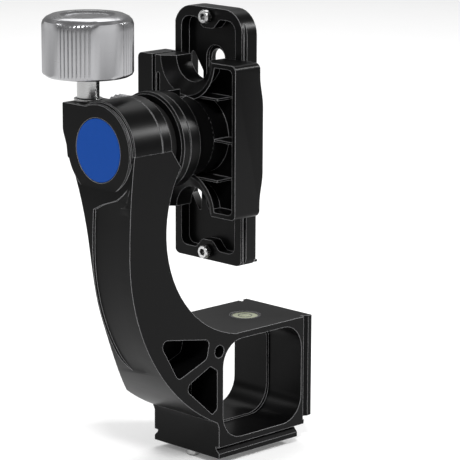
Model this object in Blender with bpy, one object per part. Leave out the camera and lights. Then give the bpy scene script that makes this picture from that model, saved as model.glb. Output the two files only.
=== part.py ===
"""Side-mount gimbal tripod head: a C-shaped frame, a tilt hub with a dovetail clamp, and its lens plate.

Metres, +Z up. The origin is the centre of the dovetail foot's underside. +X runs along the tilt axis,
from the blue disc towards the lens plate.
"""
import math

import bmesh
import bpy
from mathutils import Vector

for leftover in list(bpy.data.objects):
    bpy.data.objects.remove(leftover, do_unlink=True)

MM = 0.001

# Gaps and overruns shared by the whole assembly
GAP = 0.3 * MM
RUN_GAP = 0.35 * MM
OVER = 3.0 * MM
OVERLAP = 0.6 * MM
FINE = 0.4 * MM

# Dovetail, the same on the foot, the end face and the lens plate
DOVETAIL_WIDTH = 38.0 * MM
DOVETAIL_LIP = 2.0 * MM
DOVETAIL_DEPTH = 1.9 * MM
DOVETAIL_NECK = 0.8 * MM

# Base block
FOOT_LENGTH = 45.5 * MM
FOOT_HEIGHT = 4.6 * MM
FOOT_STEP = 13.6 * MM
BASE_HEIGHT = 50.8 * MM
BASE_LENGTH = 53.6 * MM
END_BOTTOM = 7.9 * MM
WINDOW_LEFT = 2.2 * MM
WINDOW_WIDTH = 45.4 * MM
WINDOW_BOTTOM = 7.2 * MM
WINDOW_HEIGHT = 41.1 * MM
WINDOW_ROUND = 10.5 * MM
WINDOW_STEP = 1.1 * MM
WINDOW_SILL = 0.8 * MM
POCKET_DEPTH = 15.0 * MM
POCKET_ROUND = 2.4 * MM
KEY_HOLE = 2.6 * MM
KEY_HOLE_HEIGHT = 45.0 * MM
KEY_HOLE_DEPTH = 9.0 * MM

# Arm, a band between two arcs
ARM_REACH = 47.3 * MM
ARM_WIDTH = 21.8 * MM
ARM_BELLY = 1.1 * MM
ARM_TOE = 3.1 * MM
ARM_OUTER_HEIGHT = 90.4 * MM
ARM_LEAN_ROUND = 286.0 * MM
ARM_INNER_ROUND = 47.0 * MM
ARM_INNER_REACH = 18.0 * MM
ARM_INNER_HEIGHT = 97.0 * MM
FLANK_UPPER_ROUND = 92.0 * MM
FLANK_UPPER_HEIGHT = 75.0 * MM
FLANK_LOWER_ROUND = 52.0 * MM
FLANK_LOWER_HEIGHT = 62.0 * MM
FLANK_PLAN_ROUND = 21.0 * MM
HOLLOW_DEPTH = 0.9 * MM
HOLLOW_RIM = 0.5 * MM
HOLLOW_WALL = 0.4 * MM
HOLLOW_SLOPE = 8.3 * MM
HOLLOW_TOP = 107.0 * MM
HOLLOW_CROWN = 120.0 * MM
HOLLOW_RING = 21.0 * MM
HOLLOW_END = 47.0 * MM

# Pivot housing
AXIS_HEIGHT = 130.4 * MM
HOUSING_RADIUS = 19.0 * MM
HOUSING_LENGTH = 21.6 * MM
FACE_RADIUS = 18.2 * MM
FACE_PROUD = 1.7 * MM
FACE_GROOVE = 0.5 * MM
SEAM_FROM_REAR = 5.1 * MM
SEAM_DEPTH = 0.25 * MM
DISC_RADIUS = 12.45 * MM
DISC_THICK = 1.0 * MM
FRONT_WALL = 1.5 * MM
WASHER_ROOM = 1.4 * MM
NECK_RADIUS = 8.2 * MM
WASHER_RADIUS = 10.6 * MM
CHAMBER_RADIUS = 16.0 * MM
JOURNAL_RADIUS = 13.5 * MM
FRONT_BEARING_LENGTH = 1.2 * MM
REAR_BEARING_LENGTH = 8.4 * MM
SEAL_RADIUS = 16.6 * MM

# Screw ear and tilt lock
EAR_REACH = 20.6 * MM
EAR_HEIGHT = 16.5 * MM
EAR_DROP = 10.4 * MM
EAR_LENGTH = 18.0 * MM
LOCK_OFFSET = 15.5 * MM
LOCK_SETBACK = 9.0 * MM
STUD_RADIUS = 4.5 * MM
STUD_SHANK = 3.0 * MM
STUD_LENGTH = 8.6 * MM
STUD_WASHER_RADIUS = 5.7 * MM
STUD_WASHER_THICK = 0.9 * MM
SHOE_RADIUS = 2.7 * MM
SHOE_RISE = 1.6 * MM
SHOE_LENGTH = 6.0 * MM
KNOB_RADIUS = 18.0 * MM
KNOB_HEIGHT = 23.9 * MM
KNOB_SHOULDER = 3.6 * MM
KNOB_CHAMFER = 1.6 * MM
KNOB_DISH_RADIUS = 11.0 * MM
KNOB_DISH_DEPTH = 0.9 * MM
KNOB_FLUTE_DEPTH = 0.55 * MM
KNOB_SCALLOP_DEPTH = 1.25 * MM
KNOB_SOCKET = 9.0 * MM
KNOB_BANDS = 4
KNOB_FLUTES = 8
KNOB_BAND_TURN = 30.0
KNOB_BAND_SPREAD = 44.0

# Tilt hub
HUB_GAP = 4.8 * MM
FLANGE_RADIUS = 19.9 * MM
FLANGE_THICK = 4.4 * MM
FLANGE_CHAMFER = 0.9 * MM
HUB_RADIUS = 19.3 * MM
HUB_LENGTH = 5.7 * MM
HUB_WAIST_RADIUS = 14.6 * MM
HUB_WAIST_RUN = 6.4 * MM
HUB_FOOT_RADIUS = 15.8 * MM
SPIGOT_RADIUS = 9.0 * MM
SPIGOT_LENGTH = 4.0 * MM
BOLT_RADIUS = 3.0 * MM
BOLT_HEAD_RADIUS = 6.0 * MM
BOLT_HEAD = 5.0 * MM
BOLT_GRIP = 12.0 * MM
BOLT_SOCKET = 2.5 * MM
BOLT_SOCKET_DEPTH = 2.8 * MM

# Dovetail clamp
CLAMP_FRONT = -0.4 * MM
CLAMP_HEIGHT = 61.4 * MM
CLAMP_HALF = 27.8 * MM
CLAMP_THICK = 12.0 * MM
CLAMP_ROUND = 2.2 * MM
JAW_END_HEIGHT = 1.8 * MM
JAW_MID_HEIGHT = 3.5 * MM
JAW_FLAT_END = 5.0 * MM
JAW_FLAT_MID = 26.0 * MM
JAW_SLIT = 1.7 * MM
NOTCH_RADIUS = 9.5 * MM
NOTCH_RIM_RADIUS = 14.5 * MM
NOTCH_RIM_DEPTH = 4.0 * MM
POCKET_WALL = 1.8 * MM
CLAMP_POCKET_DEPTH = 8.4 * MM
CLAMP_RIB = 0.9 * MM
CLAMP_RIB_SPREAD = 16.3 * MM
CLAMP_STUB_REACH = 17.5 * MM
SIDE_SLOT_HALF = 0.85 * MM
SIDE_SLOT_LENGTH = 16.0 * MM
SIDE_SLOT_DEPTH = 2.0 * MM
SIDE_SLOT_TOP = 7.0 * MM
CLAMP_SCREW_RADIUS = 3.0 * MM
CLAMP_SCREW_DEPTH = 6.0 * MM
CLAMP_SCREW_TIP = 9.5 * MM
GUIDE_RADIUS = 2.0 * MM
GUIDE_SPREAD = 18.0 * MM
GUIDE_DEPTH = 7.0 * MM
SPRING_OUTER = 5.2 * MM
SPRING_WIRE = 0.7 * MM
SPRING_ROOM = 4.6 * MM
CLAMP_KNOB_NECK = 6.5 * MM
CLAMP_KNOB_NECK_LENGTH = 2.6 * MM
CLAMP_KNOB_RADIUS = 10.5 * MM
CLAMP_KNOB_LENGTH = 17.0 * MM
CLAMP_KNOB_FLUTE = 0.6 * MM
CLAMP_KNOB_TEETH = 26
CLAMP_KNOB_CHAMFER = 1.0 * MM

# Lens plate
PLATE_WIDTH = 38.8 * MM
PLATE_THICK = 8.0 * MM
PLATE_HEIGHT = 102.8 * MM
PLATE_DROP = 52.7 * MM
PLATE_TOP_ROUND = 10.0 * MM
PLATE_FOOT_ROUND = 3.2 * MM
PLATE_LIP = 0.8 * MM
PLATE_NECK = 0.3 * MM
PLATE_NOTCH = 1.4 * MM
PLATE_CHAMFER = 0.5 * MM
PLATE_RIM = 4.1 * MM
PLATE_END_RIM = 4.4 * MM
PLATE_RECESS = 4.4 * MM
RECESS_ROUND = 4.3 * MM
BOSS_HALF = 6.5 * MM
BOSS_TOP_HALF = 3.0 * MM
BOSS_RISE = 3.9 * MM
BOSS_ROUND = 2.5 * MM
STOP_INSET = 3.6 * MM
STOP_RADIUS = 2.7 * MM
STOP_HEAD = 2.9 * MM
STOP_SHANK = 1.4 * MM
STOP_SHANK_LENGTH = 4.5 * MM
STOP_SOCKET = 1.2 * MM
STOP_SOCKET_DEPTH = 1.6 * MM
SLOT_HALF = 3.7 * MM
SLOT_RIM_HALF = 5.3 * MM
SLOT_RIM_DEPTH = 1.4 * MM
SLOT_REACH = 34.6 * MM
LIGHTENING_INSET = 5.6 * MM
LIGHTENING_WEB = 1.9 * MM
LIGHTENING_TOP = 33.0 * MM
LIGHTENING_MIDDLE = 23.5 * MM
LIGHTENING_FOOT = 14.0 * MM
LIGHTENING_TIP = 36.1 * MM
LIGHTENING_SHOULDER = 27.4 * MM
LIGHTENING_ROUND = 0.9 * MM
PLATE_TOE = 0.9 * MM
PLATE_TOE_THICK = 1.0 * MM
PLATE_TOE_RISE = 1.1 * MM

# Small parts
VIAL_RADIUS = 6.1 * MM
VIAL_THICK = 1.6 * MM
VIAL_REACH = 33.6 * MM
SAFETY_RADIUS = 2.7 * MM
SAFETY_HEAD = 3.0 * MM
SAFETY_SHANK = 1.5 * MM
SAFETY_SHANK_LENGTH = 4.0 * MM
SAFETY_INSET = 3.9 * MM
SAFETY_SINK = 0.5 * MM

# Places that follow from the sizes above
HALF = DOVETAIL_WIDTH / 2
FOOT_LEFT = -FOOT_LENGTH / 2
BASE_RIGHT = FOOT_LEFT + BASE_LENGTH
HOUSING_FRONT = FOOT_LEFT - ARM_REACH
RIM_FRONT = HOUSING_FRONT + FACE_PROUD
HOUSING_REAR = HOUSING_FRONT + HOUSING_LENGTH
SHOULDER = HOUSING_FRONT + DISC_THICK + GAP + WASHER_ROOM
CHAMBER_FRONT = SHOULDER + FRONT_WALL
SEAL_FRONT = HOUSING_REAR - FINE
FLANGE_FRONT = HOUSING_REAR + HUB_GAP
FLANGE_REAR = FLANGE_FRONT + FLANGE_THICK
HUB_FRONT = FLANGE_REAR + GAP
HUB_END = HUB_FRONT + HUB_LENGTH
CLAMP_FACE = FOOT_LEFT + CLAMP_FRONT
SEAT = CLAMP_FACE + CLAMP_THICK
SCREW_X = CLAMP_FACE + CLAMP_THICK / 2
CLAMP_TOP = AXIS_HEIGHT + CLAMP_HEIGHT / 2
CLAMP_LOW = AXIS_HEIGHT - CLAMP_HEIGHT / 2
LIP_HALF = PLATE_WIDTH / 2 + GAP
BODY_EDGE = LIP_HALF - JAW_SLIT - GAP
JAW_EDGE = LIP_HALF - GAP
PLATE_FACE = SEAT + GAP
PLATE_BACK = PLATE_FACE + PLATE_THICK
PLATE_LOW = AXIS_HEIGHT - PLATE_DROP
PLATE_TOP = PLATE_LOW + PLATE_HEIGHT
LOCK_X = HOUSING_FRONT + LOCK_SETBACK
EAR_TOP = AXIS_HEIGHT + EAR_HEIGHT
SHOE_LOW = AXIS_HEIGHT + SHOE_RISE
SHOE_TOP = SHOE_LOW + SHOE_LENGTH
STUD_LOW = EAR_TOP + STUD_WASHER_THICK + 2 * GAP
KNOB_LOW = STUD_LOW + STUD_LENGTH
FLANK = ARM_WIDTH - HALF
AXIS = Vector((0, 0, AXIS_HEIGHT))
ARM_FRONT = HOUSING_FRONT - ARM_BELLY
TOE_RUN = FOOT_LEFT + ARM_TOE - ARM_FRONT
TOE_DROP = ARM_OUTER_HEIGHT - FOOT_STEP
ARM_OUTER_ROUND = (TOE_RUN ** 2 + TOE_DROP ** 2) / (2 * TOE_RUN)


def material(name, colour, roughness, metallic):
    made = bpy.data.materials.new(name)
    made.use_nodes = True
    shader = made.node_tree.nodes["Principled BSDF"]
    shader.inputs["Base Color"].default_value = (*colour, 1)
    shader.inputs["Roughness"].default_value = roughness
    shader.inputs["Metallic"].default_value = metallic
    return made


ANODISED = material("anodised_black", (0.045, 0.046, 0.048), 0.42, 0.75)
SATIN_SILVER = material("satin_silver", (0.62, 0.62, 0.62), 0.34, 1.0)
BRIGHT_STEEL = material("bright_steel", (0.72, 0.72, 0.72), 0.16, 1.0)
BLUE = material("blue_disc", (0.035, 0.24, 0.58), 0.45, 0.0)
BRONZE = material("bronze", (0.42, 0.27, 0.12), 0.4, 1.0)
RUBBER = material("black_rubber", (0.02, 0.02, 0.02), 0.8, 0.0)
VIAL = material("level_fluid", (0.66, 0.68, 0.5), 0.2, 0.0)


def solid(name, rings, looped=False):
    """A closed skin over rings of points, each ring as long as the next, or a single point."""
    mesh = bmesh.new()
    rows = [[mesh.verts.new(point) for point in ring] for ring in rings]
    if looped:
        rows.append(rows[0])
    for lower, upper in zip(rows, rows[1:]):
        count = max(len(lower), len(upper))
        for i in range(count):
            j = (i + 1) % count
            corners = [lower[i % len(lower)], lower[j % len(lower)]]
            corners += [upper[j % len(upper)], upper[i % len(upper)]]
            distinct = list(dict.fromkeys(corners))
            if len(distinct) > 2:
                mesh.faces.new(distinct)
    if not looped:
        for row in (rows[0], rows[-1]):
            if len(row) > 2:
                mesh.faces.new(row)
    bmesh.ops.recalc_face_normals(mesh, faces=mesh.faces)
    data = bpy.data.meshes.new(name)
    mesh.to_mesh(data)
    mesh.free()
    made = bpy.data.objects.new(name, data)
    bpy.context.scene.collection.objects.link(made)
    return made


def prism(name, outline, axis, low, high):
    """An outline extruded along an axis. Its pairs are (x, z) for Y, (y, z) for X and (x, y) for Z."""
    places = {
        "X": lambda pair, depth: (depth, pair[0], pair[1]),
        "Y": lambda pair, depth: (pair[0], depth, pair[1]),
        "Z": lambda pair, depth: (pair[0], pair[1], depth),
    }
    return solid(name, [[places[axis](pair, depth) for pair in outline] for depth in (low, high)])


def turned(name, profile, centre, axis, segments=48, looped=False):
    """A profile of (radius, position along the axis) pairs turned about the axis through a centre."""
    spokes = [(math.cos(math.tau * i / segments), math.sin(math.tau * i / segments)) for i in range(segments)]
    frames = {
        "X": lambda a, b, run: (run, centre.y + a, centre.z + b),
        "Y": lambda a, b, run: (centre.x + a, run, centre.z + b),
        "Z": lambda a, b, run: (centre.x + a, centre.y + b, run),
    }
    rings = []
    for radius, run in profile:
        if radius == 0:
            rings.append([frames[axis](0, 0, run)])
        else:
            rings.append([frames[axis](radius * a, radius * b, run) for a, b in spokes])
    return solid(name, rings, looped)


def rod(name, radius, centre, axis, low, high, segments=40):
    return turned(name, [(0, low), (radius, low), (radius, high), (0, high)], centre, axis, segments)


def sleeve(name, outer, inner, centre, axis, low, high, segments=32):
    """A tube, turned from a profile that runs round its wall."""
    profile = [(outer, low), (outer, high), (inner, high), (inner, low)]
    return turned(name, profile, centre, axis, segments, looped=True)


def combine(body, tool, operation, sturdy=False):
    """One Boolean step. The sturdy solver takes over where the default one leaves an open edge."""
    tool.hide_render = True
    tool.display_type = "WIRE"
    step = body.modifiers.new(tool.name, "BOOLEAN")
    step.operation = operation
    step.object = tool
    step.solver = "MANIFOLD" if sturdy else "EXACT"
    return body


def cut(body, tool, sturdy=False):
    return combine(body, tool, "DIFFERENCE", sturdy)


def join(body, tool, sturdy=False):
    return combine(body, tool, "UNION", sturdy)


def keep(body, tool):
    return combine(body, tool, "INTERSECT")


def finish(body, look, owner=None, angle=32):
    """Give a finished piece its material, smooth its round faces and hang it on its owner."""
    body.data.materials.append(look)
    body.data.shade_smooth()
    body.data.set_sharp_from_angle(angle=math.radians(angle))
    if owner:
        body.parent = owner
        body.matrix_parent_inverse = owner.matrix_world.inverted()
    return body


def pivot(name, place):
    made = bpy.data.objects.new(name, None)
    made.location = place
    bpy.context.scene.collection.objects.link(made)
    bpy.context.view_layer.update()
    return made


def arc(centre, radius, start, end, count):
    """Points on a circle from one angle to another, in degrees."""
    angles = [math.radians(start + (end - start) * i / count) for i in range(count + 1)]
    return [(centre[0] + radius * math.cos(a), centre[1] + radius * math.sin(a)) for a in angles]


def rounded(corners, radius, count=5):
    """A polygon with each corner turned into an arc that touches both of its sides."""
    outline = []
    for i, corner in enumerate(corners):
        here = Vector(corner)
        back = (Vector(corners[i - 1]) - here).normalized()
        ahead = (Vector(corners[(i + 1) % len(corners)]) - here).normalized()
        size = radius[i] if isinstance(radius, (list, tuple)) else radius
        half_turn = back.angle(ahead) / 2
        reach = size / math.tan(half_turn)
        middle = here + (back + ahead).normalized() * (size / math.sin(half_turn))
        first = here + back * reach - middle
        last = here + ahead * reach - middle
        sweep = first.angle_signed(last)
        start = math.atan2(first.y, first.x)
        for step in range(count + 1):
            angle = start - sweep * step / count
            outline.append((middle.x + size * math.cos(angle), middle.y + size * math.sin(angle)))
    return outline


def box_outline(left, low, right, high):
    return [(left, low), (right, low), (right, high), (left, high)]


def dovetail_groove(edge, lip_end, into):
    """The groove beside a dovetail lip as (across, along) pairs, for one side at across = edge."""
    floor = edge - DOVETAIL_DEPTH
    slope_end = lip_end + into * DOVETAIL_DEPTH
    neck_end = slope_end + into * DOVETAIL_NECK
    outside = edge + OVER
    return [(outside, lip_end - into * OVER), (floor, slope_end), (floor, neck_end), (outside, neck_end)]


def outer_edge(height):
    """The arm's outer edge: a slight lean above the big arc's centre, then the big arc down to the foot."""
    away = height - ARM_OUTER_HEIGHT
    size = ARM_LEAN_ROUND if away > 0 else ARM_OUTER_ROUND
    return ARM_FRONT + size - math.sqrt(size ** 2 - away ** 2)


def c_outline():
    """The C seen from the side: foot, swept outer edge, housing neck, inner arc and base top."""
    outer_centre = (ARM_FRONT + ARM_OUTER_ROUND, ARM_OUTER_HEIGHT)
    inner_centre = (FOOT_LEFT + ARM_INNER_REACH, ARM_INNER_HEIGHT)
    toe = math.degrees(math.asin(TOE_DROP / ARM_OUTER_ROUND))
    top = math.degrees(math.asin((ARM_INNER_HEIGHT - BASE_HEIGHT) / ARM_INNER_ROUND))
    neck_height = FLANGE_FRONT - GAP - inner_centre[0]
    rise = math.degrees(math.acos(neck_height / ARM_INNER_ROUND))
    points = [(FOOT_LEFT, 0), (FOOT_LEFT, FOOT_STEP - OVERLAP)]
    points += arc(outer_centre, ARM_OUTER_ROUND, 180 + toe, 180, 22)[1:]
    rows = 8
    for i in range(1, rows + 1):
        height = ARM_OUTER_HEIGHT + (AXIS_HEIGHT - FINE - ARM_OUTER_HEIGHT) * i / rows
        points.append((outer_edge(height), height))
    points += [(HOUSING_REAR - FINE, AXIS_HEIGHT - FINE)]
    points += arc(inner_centre, ARM_INNER_ROUND, rise, 180 + top, 22)
    points += [(BASE_RIGHT, BASE_HEIGHT), (BASE_RIGHT, END_BOTTOM)]
    step = FOOT_LEFT + FOOT_LENGTH
    shelf = BASE_RIGHT - DOVETAIL_LIP - DOVETAIL_DEPTH
    points += [(shelf, END_BOTTOM - FINE), (shelf - FINE, FOOT_HEIGHT), (step, FOOT_HEIGHT - FINE), (step, 0)]
    return points


def flank_cutter():
    """What the arm gives up on its far side: flared at the base and at the housing, straight between."""
    face = FLANK
    lower = (face + FLANK_LOWER_ROUND, FLANK_LOWER_HEIGHT)
    upper = (face + FLANK_UPPER_ROUND, FLANK_UPPER_HEIGHT)
    side = HALF + OVER
    low_turn = math.degrees(math.acos((lower[0] - side) / FLANK_LOWER_ROUND))
    high_turn = math.degrees(math.acos((upper[0] - side) / FLANK_UPPER_ROUND))
    outline = arc(lower, FLANK_LOWER_ROUND, 180 + low_turn, 180, 12)
    outline += arc(upper, FLANK_UPPER_ROUND, 180, 180 - high_turn, 12)
    outline += [(side + OVER, outline[-1][1]), (side + OVER, outline[0][1])]
    body = prism("flank_cutter", outline, "X", HOUSING_FRONT - OVER, FOOT_LEFT + FLANK_PLAN_ROUND)
    turn = (FOOT_LEFT - FLANK_PLAN_ROUND, HALF + OVER)
    plan = arc(turn, FLANK_PLAN_ROUND + OVER, 0, -90, 10)
    plan += [(HOUSING_FRONT - 2 * OVER, plan[-1][1]), (HOUSING_FRONT - 2 * OVER, turn[1] + OVER)]
    plan += [(plan[0][0], turn[1] + OVER)]
    return keep(body, prism("flank_plan", plan, "Z", 0, CLAMP_TOP))


def hollow_cutter():
    """The long hollow down the arm's outer face: a steep wall beside the flank and a slope to the near edge.

    At the top it curls round the housing's ring and runs out, and at the foot it ends in a soft round.
    """
    loops = []
    near = -HALF + FINE
    far = FLANK - HOLLOW_RIM
    curl = 5
    for i in range(curl):
        share = i / curl
        height = HOLLOW_CROWN + (HOLLOW_TOP - HOLLOW_CROWN) * share
        drop = AXIS_HEIGHT - height
        edge = -math.sqrt(max(0, HOLLOW_RING ** 2 - drop ** 2))
        depth = (HOLLOW_DEPTH + FINE / 2) * share - FINE / 2
        loops.append(hollow_loop(height, near, max(edge, near + FINE), depth))
    steps = 13
    for i in range(steps + 1):
        loops.append(hollow_loop(HOLLOW_TOP + (HOLLOW_END - HOLLOW_TOP) * i / steps, near, far, HOLLOW_DEPTH))
    fade = 5
    for i in range(fade):
        share = (i + 1) / fade
        closing = math.sqrt(1 - share * share)
        middle = (near + HOLLOW_SLOPE + far) / 2
        depth = (HOLLOW_DEPTH + FINE) * closing - FINE
        width = max(closing, 0.2)
        height = HOLLOW_END - HOLLOW_SLOPE * share
        left = middle + (near - middle) * width
        right = middle + (far - middle) * width
        loops.append(hollow_loop(height, left, right, depth))
    return solid("hollow_cutter", loops)


def hollow_loop(height, near, far, depth):
    surface = outer_edge(height)
    away = height - ARM_OUTER_HEIGHT
    lean = away / (ARM_LEAN_ROUND if away > 0 else ARM_OUTER_ROUND)
    out_x, out_z = -math.sqrt(1 - lean * lean), lean
    slope = HOLLOW_SLOPE * (far - near) / (FLANK - HOLLOW_RIM + HALF)
    wall = HOLLOW_WALL * (far - near) / (FLANK - HOLLOW_RIM + HALF)
    spread = OVER / HOLLOW_DEPTH
    pairs = [(OVER, near - slope * spread), (-depth, near + slope)]
    pairs += [(-depth, far - wall), (OVER, far + wall * spread)]
    return [(surface + out_x * lift, across, height + out_z * lift) for lift, across in pairs]


def base_pocket_cutters():
    """The two weight-saving pockets between arm and window, and the small key hole beside them."""
    upper_shares = [(-0.735, 1.095), (-0.115, 1.0), (-0.155, 0.85), (-0.5, 0.735)]
    lower_shares = [(-0.11, 0.785), (-0.025, 0.735), (-0.025, 0.42), (-0.085, 0.385), (-0.425, 0.655)]
    tools = []
    for name, shares in (("upper_pocket", upper_shares), ("lower_pocket", lower_shares)):
        corners = [(FOOT_LEFT + FOOT_LENGTH * x, BASE_HEIGHT * z) for x, z in shares]
        radii = [POCKET_ROUND] * len(corners)
        if name == "lower_pocket":
            radii = [POCKET_ROUND / 2] * 3 + [POCKET_ROUND / 3, POCKET_ROUND]
        outline = rounded(corners, radii)
        tools.append(prism(name, outline, "Y", -HALF - OVER, -HALF + POCKET_DEPTH))
    place = Vector((FOOT_LEFT, 0, KEY_HOLE_HEIGHT))
    tools.append(rod("key_hole", KEY_HOLE, place, "Y", -HALF - OVER, -HALF + KEY_HOLE_DEPTH, 24))
    return tools


def window_cutters():
    """The through window: the far half is narrower by a step, and has a raised sill."""
    left = FOOT_LEFT + WINDOW_LEFT
    right = left + WINDOW_WIDTH
    top = WINDOW_BOTTOM + WINDOW_HEIGHT
    front = rounded(box_outline(left, WINDOW_BOTTOM, right, top), WINDOW_ROUND, 8)
    rear = rounded(box_outline(left, WINDOW_BOTTOM + WINDOW_SILL, right - WINDOW_STEP, top), WINDOW_ROUND, 8)
    return [
        prism("window_front", front, "Y", -HALF - OVER, 0),
        prism("window_rear", rear, "Y", -OVER, HALF + OVER),
    ]


def groove_cutters():
    """The grooves beside the foot's lip and the end face's lip, one on each side."""
    tools = []
    for side in (-1, 1):
        foot = [(side * across, along) for across, along in dovetail_groove(HALF, DOVETAIL_LIP, 1)]
        tools.append(prism("foot_groove", foot, "X", FOOT_LEFT - OVER, BASE_RIGHT + OVER))
        lip = BASE_RIGHT - DOVETAIL_LIP
        end = [(along, side * across) for across, along in dovetail_groove(HALF, lip, -1)]
        tools.append(prism("end_groove", end, "Z", FOOT_HEIGHT + DOVETAIL_DEPTH, BASE_HEIGHT + OVER))
    return tools


def housing_profile():
    return [
        (0, HOUSING_FRONT),
        (FACE_RADIUS - FINE, HOUSING_FRONT),
        (FACE_RADIUS, HOUSING_FRONT + FINE),
        (FACE_RADIUS, RIM_FRONT - FACE_GROOVE),
        (FACE_RADIUS - FACE_GROOVE, RIM_FRONT - FACE_GROOVE),
        (FACE_RADIUS - FACE_GROOVE, RIM_FRONT),
        (HOUSING_RADIUS - FINE, RIM_FRONT),
        (HOUSING_RADIUS, RIM_FRONT + FINE),
        (HOUSING_RADIUS, HOUSING_REAR - SEAM_FROM_REAR - SEAM_DEPTH),
        (HOUSING_RADIUS - SEAM_DEPTH, HOUSING_REAR - SEAM_FROM_REAR),
        (HOUSING_RADIUS, HOUSING_REAR - SEAM_FROM_REAR + SEAM_DEPTH),
        (HOUSING_RADIUS, HOUSING_REAR - FINE),
        (HOUSING_RADIUS - FINE, HOUSING_REAR),
        (0, HOUSING_REAR),
    ]


def ear_outline():
    """The ear that carries the lock stud: a flat shelf and side that melt into the round housing."""
    low = AXIS_HEIGHT + EAR_HEIGHT - EAR_DROP
    side = EAR_REACH
    melt = HOUSING_RADIUS - FACE_GROOVE
    return [
        (LOCK_OFFSET - STUD_WASHER_RADIUS * 2, EAR_TOP),
        (LOCK_OFFSET - STUD_WASHER_RADIUS * 2, AXIS_HEIGHT),
        (LOCK_OFFSET, AXIS_HEIGHT - FACE_RADIUS / 3),
        (melt * math.cos(math.radians(15)), AXIS_HEIGHT - melt * math.sin(math.radians(15))),
        (melt, AXIS_HEIGHT),
        (side - FINE, low - FINE * 4),
        (side, low),
        (side, EAR_TOP - FINE),
        (side - FINE, EAR_TOP),
    ]


def journal_bore():
    """The stepped bore: disc recess, washer room, inner shoulder and bearing chamber."""
    return turned("journal_bore", [
        (0, HOUSING_FRONT - OVER),
        (DISC_RADIUS + GAP, HOUSING_FRONT - OVER),
        (DISC_RADIUS + GAP, HOUSING_FRONT + DISC_THICK + GAP),
        (WASHER_RADIUS + GAP, HOUSING_FRONT + DISC_THICK + GAP),
        (WASHER_RADIUS + GAP, SHOULDER),
        (NECK_RADIUS + RUN_GAP, SHOULDER),
        (NECK_RADIUS + RUN_GAP, CHAMBER_FRONT),
        (CHAMBER_RADIUS, CHAMBER_FRONT),
        (CHAMBER_RADIUS, SEAL_FRONT),
        (SEAL_RADIUS + GAP, SEAL_FRONT),
        (SEAL_RADIUS + GAP, FLANGE_REAR),
        (0, FLANGE_REAR),
    ], AXIS, "X", 40)


def lock_bore():
    """The threaded hole through the ear, going on as the brake shoe's bore into the chamber."""
    return turned("lock_bore", [
        (0, SHOE_LOW - GAP),
        (SHOE_RADIUS + GAP, SHOE_LOW - GAP),
        (SHOE_RADIUS + GAP, SHOE_TOP + GAP),
        (STUD_SHANK + GAP, SHOE_TOP + GAP),
        (STUD_SHANK + GAP, EAR_TOP + OVER),
        (0, EAR_TOP + OVER),
    ], Vector((LOCK_X, LOCK_OFFSET, 0)), "Z", 24)


def seats_in_base():
    vial = Vector((FOOT_LEFT + VIAL_REACH, 0, 0))
    seat = BASE_HEIGHT - VIAL_THICK - GAP
    tools = [rod("vial_seat", VIAL_RADIUS + GAP, vial, "Z", seat, BASE_HEIGHT + OVER, 32)]
    for place in safety_places():
        tools.append(turned("safety_bore", [
            (0, -OVER),
            (SAFETY_RADIUS + GAP, -OVER),
            (SAFETY_RADIUS + GAP, SAFETY_SINK),
            (SAFETY_SHANK + GAP, SAFETY_SINK),
            (SAFETY_SHANK + GAP, SAFETY_SHANK_LENGTH + GAP),
            (0, SAFETY_SHANK_LENGTH + GAP),
        ], place, "Z", 16))
    return tools


def safety_places():
    return [Vector((side * (FOOT_LENGTH / 2 - SAFETY_INSET), 0, 0)) for side in (-1, 1)]


def arm_frame():
    body = prism("arm_frame", c_outline(), "Y", -HALF, HALF)
    cut(body, flank_cutter())
    cut(body, hollow_cutter())
    for tool in base_pocket_cutters() + window_cutters() + groove_cutters():
        cut(body, tool)
    join(body, turned("housing", housing_profile(), AXIS, "X", 64))
    join(body, prism("ear", ear_outline(), "X", HOUSING_FRONT, HOUSING_FRONT + EAR_LENGTH))
    for tool in [journal_bore(), lock_bore()] + seats_in_base():
        cut(body, tool, sturdy=True)
    return finish(body, ANODISED)


def housing_fittings():
    finish(rod("cap_disc", DISC_RADIUS, AXIS, "X", HOUSING_FRONT, HOUSING_FRONT + DISC_THICK, 48), BLUE)
    outer = CHAMBER_RADIUS - GAP
    inner = JOURNAL_RADIUS + RUN_GAP
    front = CHAMBER_FRONT + GAP
    rear = SEAL_FRONT - REAR_BEARING_LENGTH
    finish(sleeve("front_bearing", outer, inner, AXIS, "X", front, front + FRONT_BEARING_LENGTH), BRONZE)
    finish(sleeve("rear_bearing", outer, inner, AXIS, "X", rear, SEAL_FRONT), BRONZE)
    finish(sleeve("dust_seal", SEAL_RADIUS, inner, AXIS, "X", SEAL_FRONT + GAP, FLANGE_FRONT - GAP), RUBBER)
    vial = Vector((FOOT_LEFT + VIAL_REACH, 0, 0))
    finish(rod("level_vial", VIAL_RADIUS, vial, "Z", BASE_HEIGHT - VIAL_THICK, BASE_HEIGHT, 32), VIAL)
    washer_place = Vector((LOCK_X, LOCK_OFFSET, 0))
    washer_low = EAR_TOP + GAP
    finish(sleeve("stud_washer", STUD_WASHER_RADIUS, STUD_SHANK + GAP, washer_place, "Z", washer_low,
                  washer_low + STUD_WASHER_THICK, 24), BRIGHT_STEEL)
    for name, place in zip(("foot_screw_left", "foot_screw_right"), safety_places()):
        base = SAFETY_SINK - GAP
        profile = [
            (0, base - SAFETY_HEAD),
            (SAFETY_RADIUS - FINE, base - SAFETY_HEAD),
            (SAFETY_RADIUS, base - SAFETY_HEAD + FINE),
            (SAFETY_RADIUS, base),
            (SAFETY_SHANK, base),
            (SAFETY_SHANK, SAFETY_SHANK_LENGTH),
            (0, SAFETY_SHANK_LENGTH),
        ]
        finish(turned(name, profile, place, "Z", 16), BRIGHT_STEEL)


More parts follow.
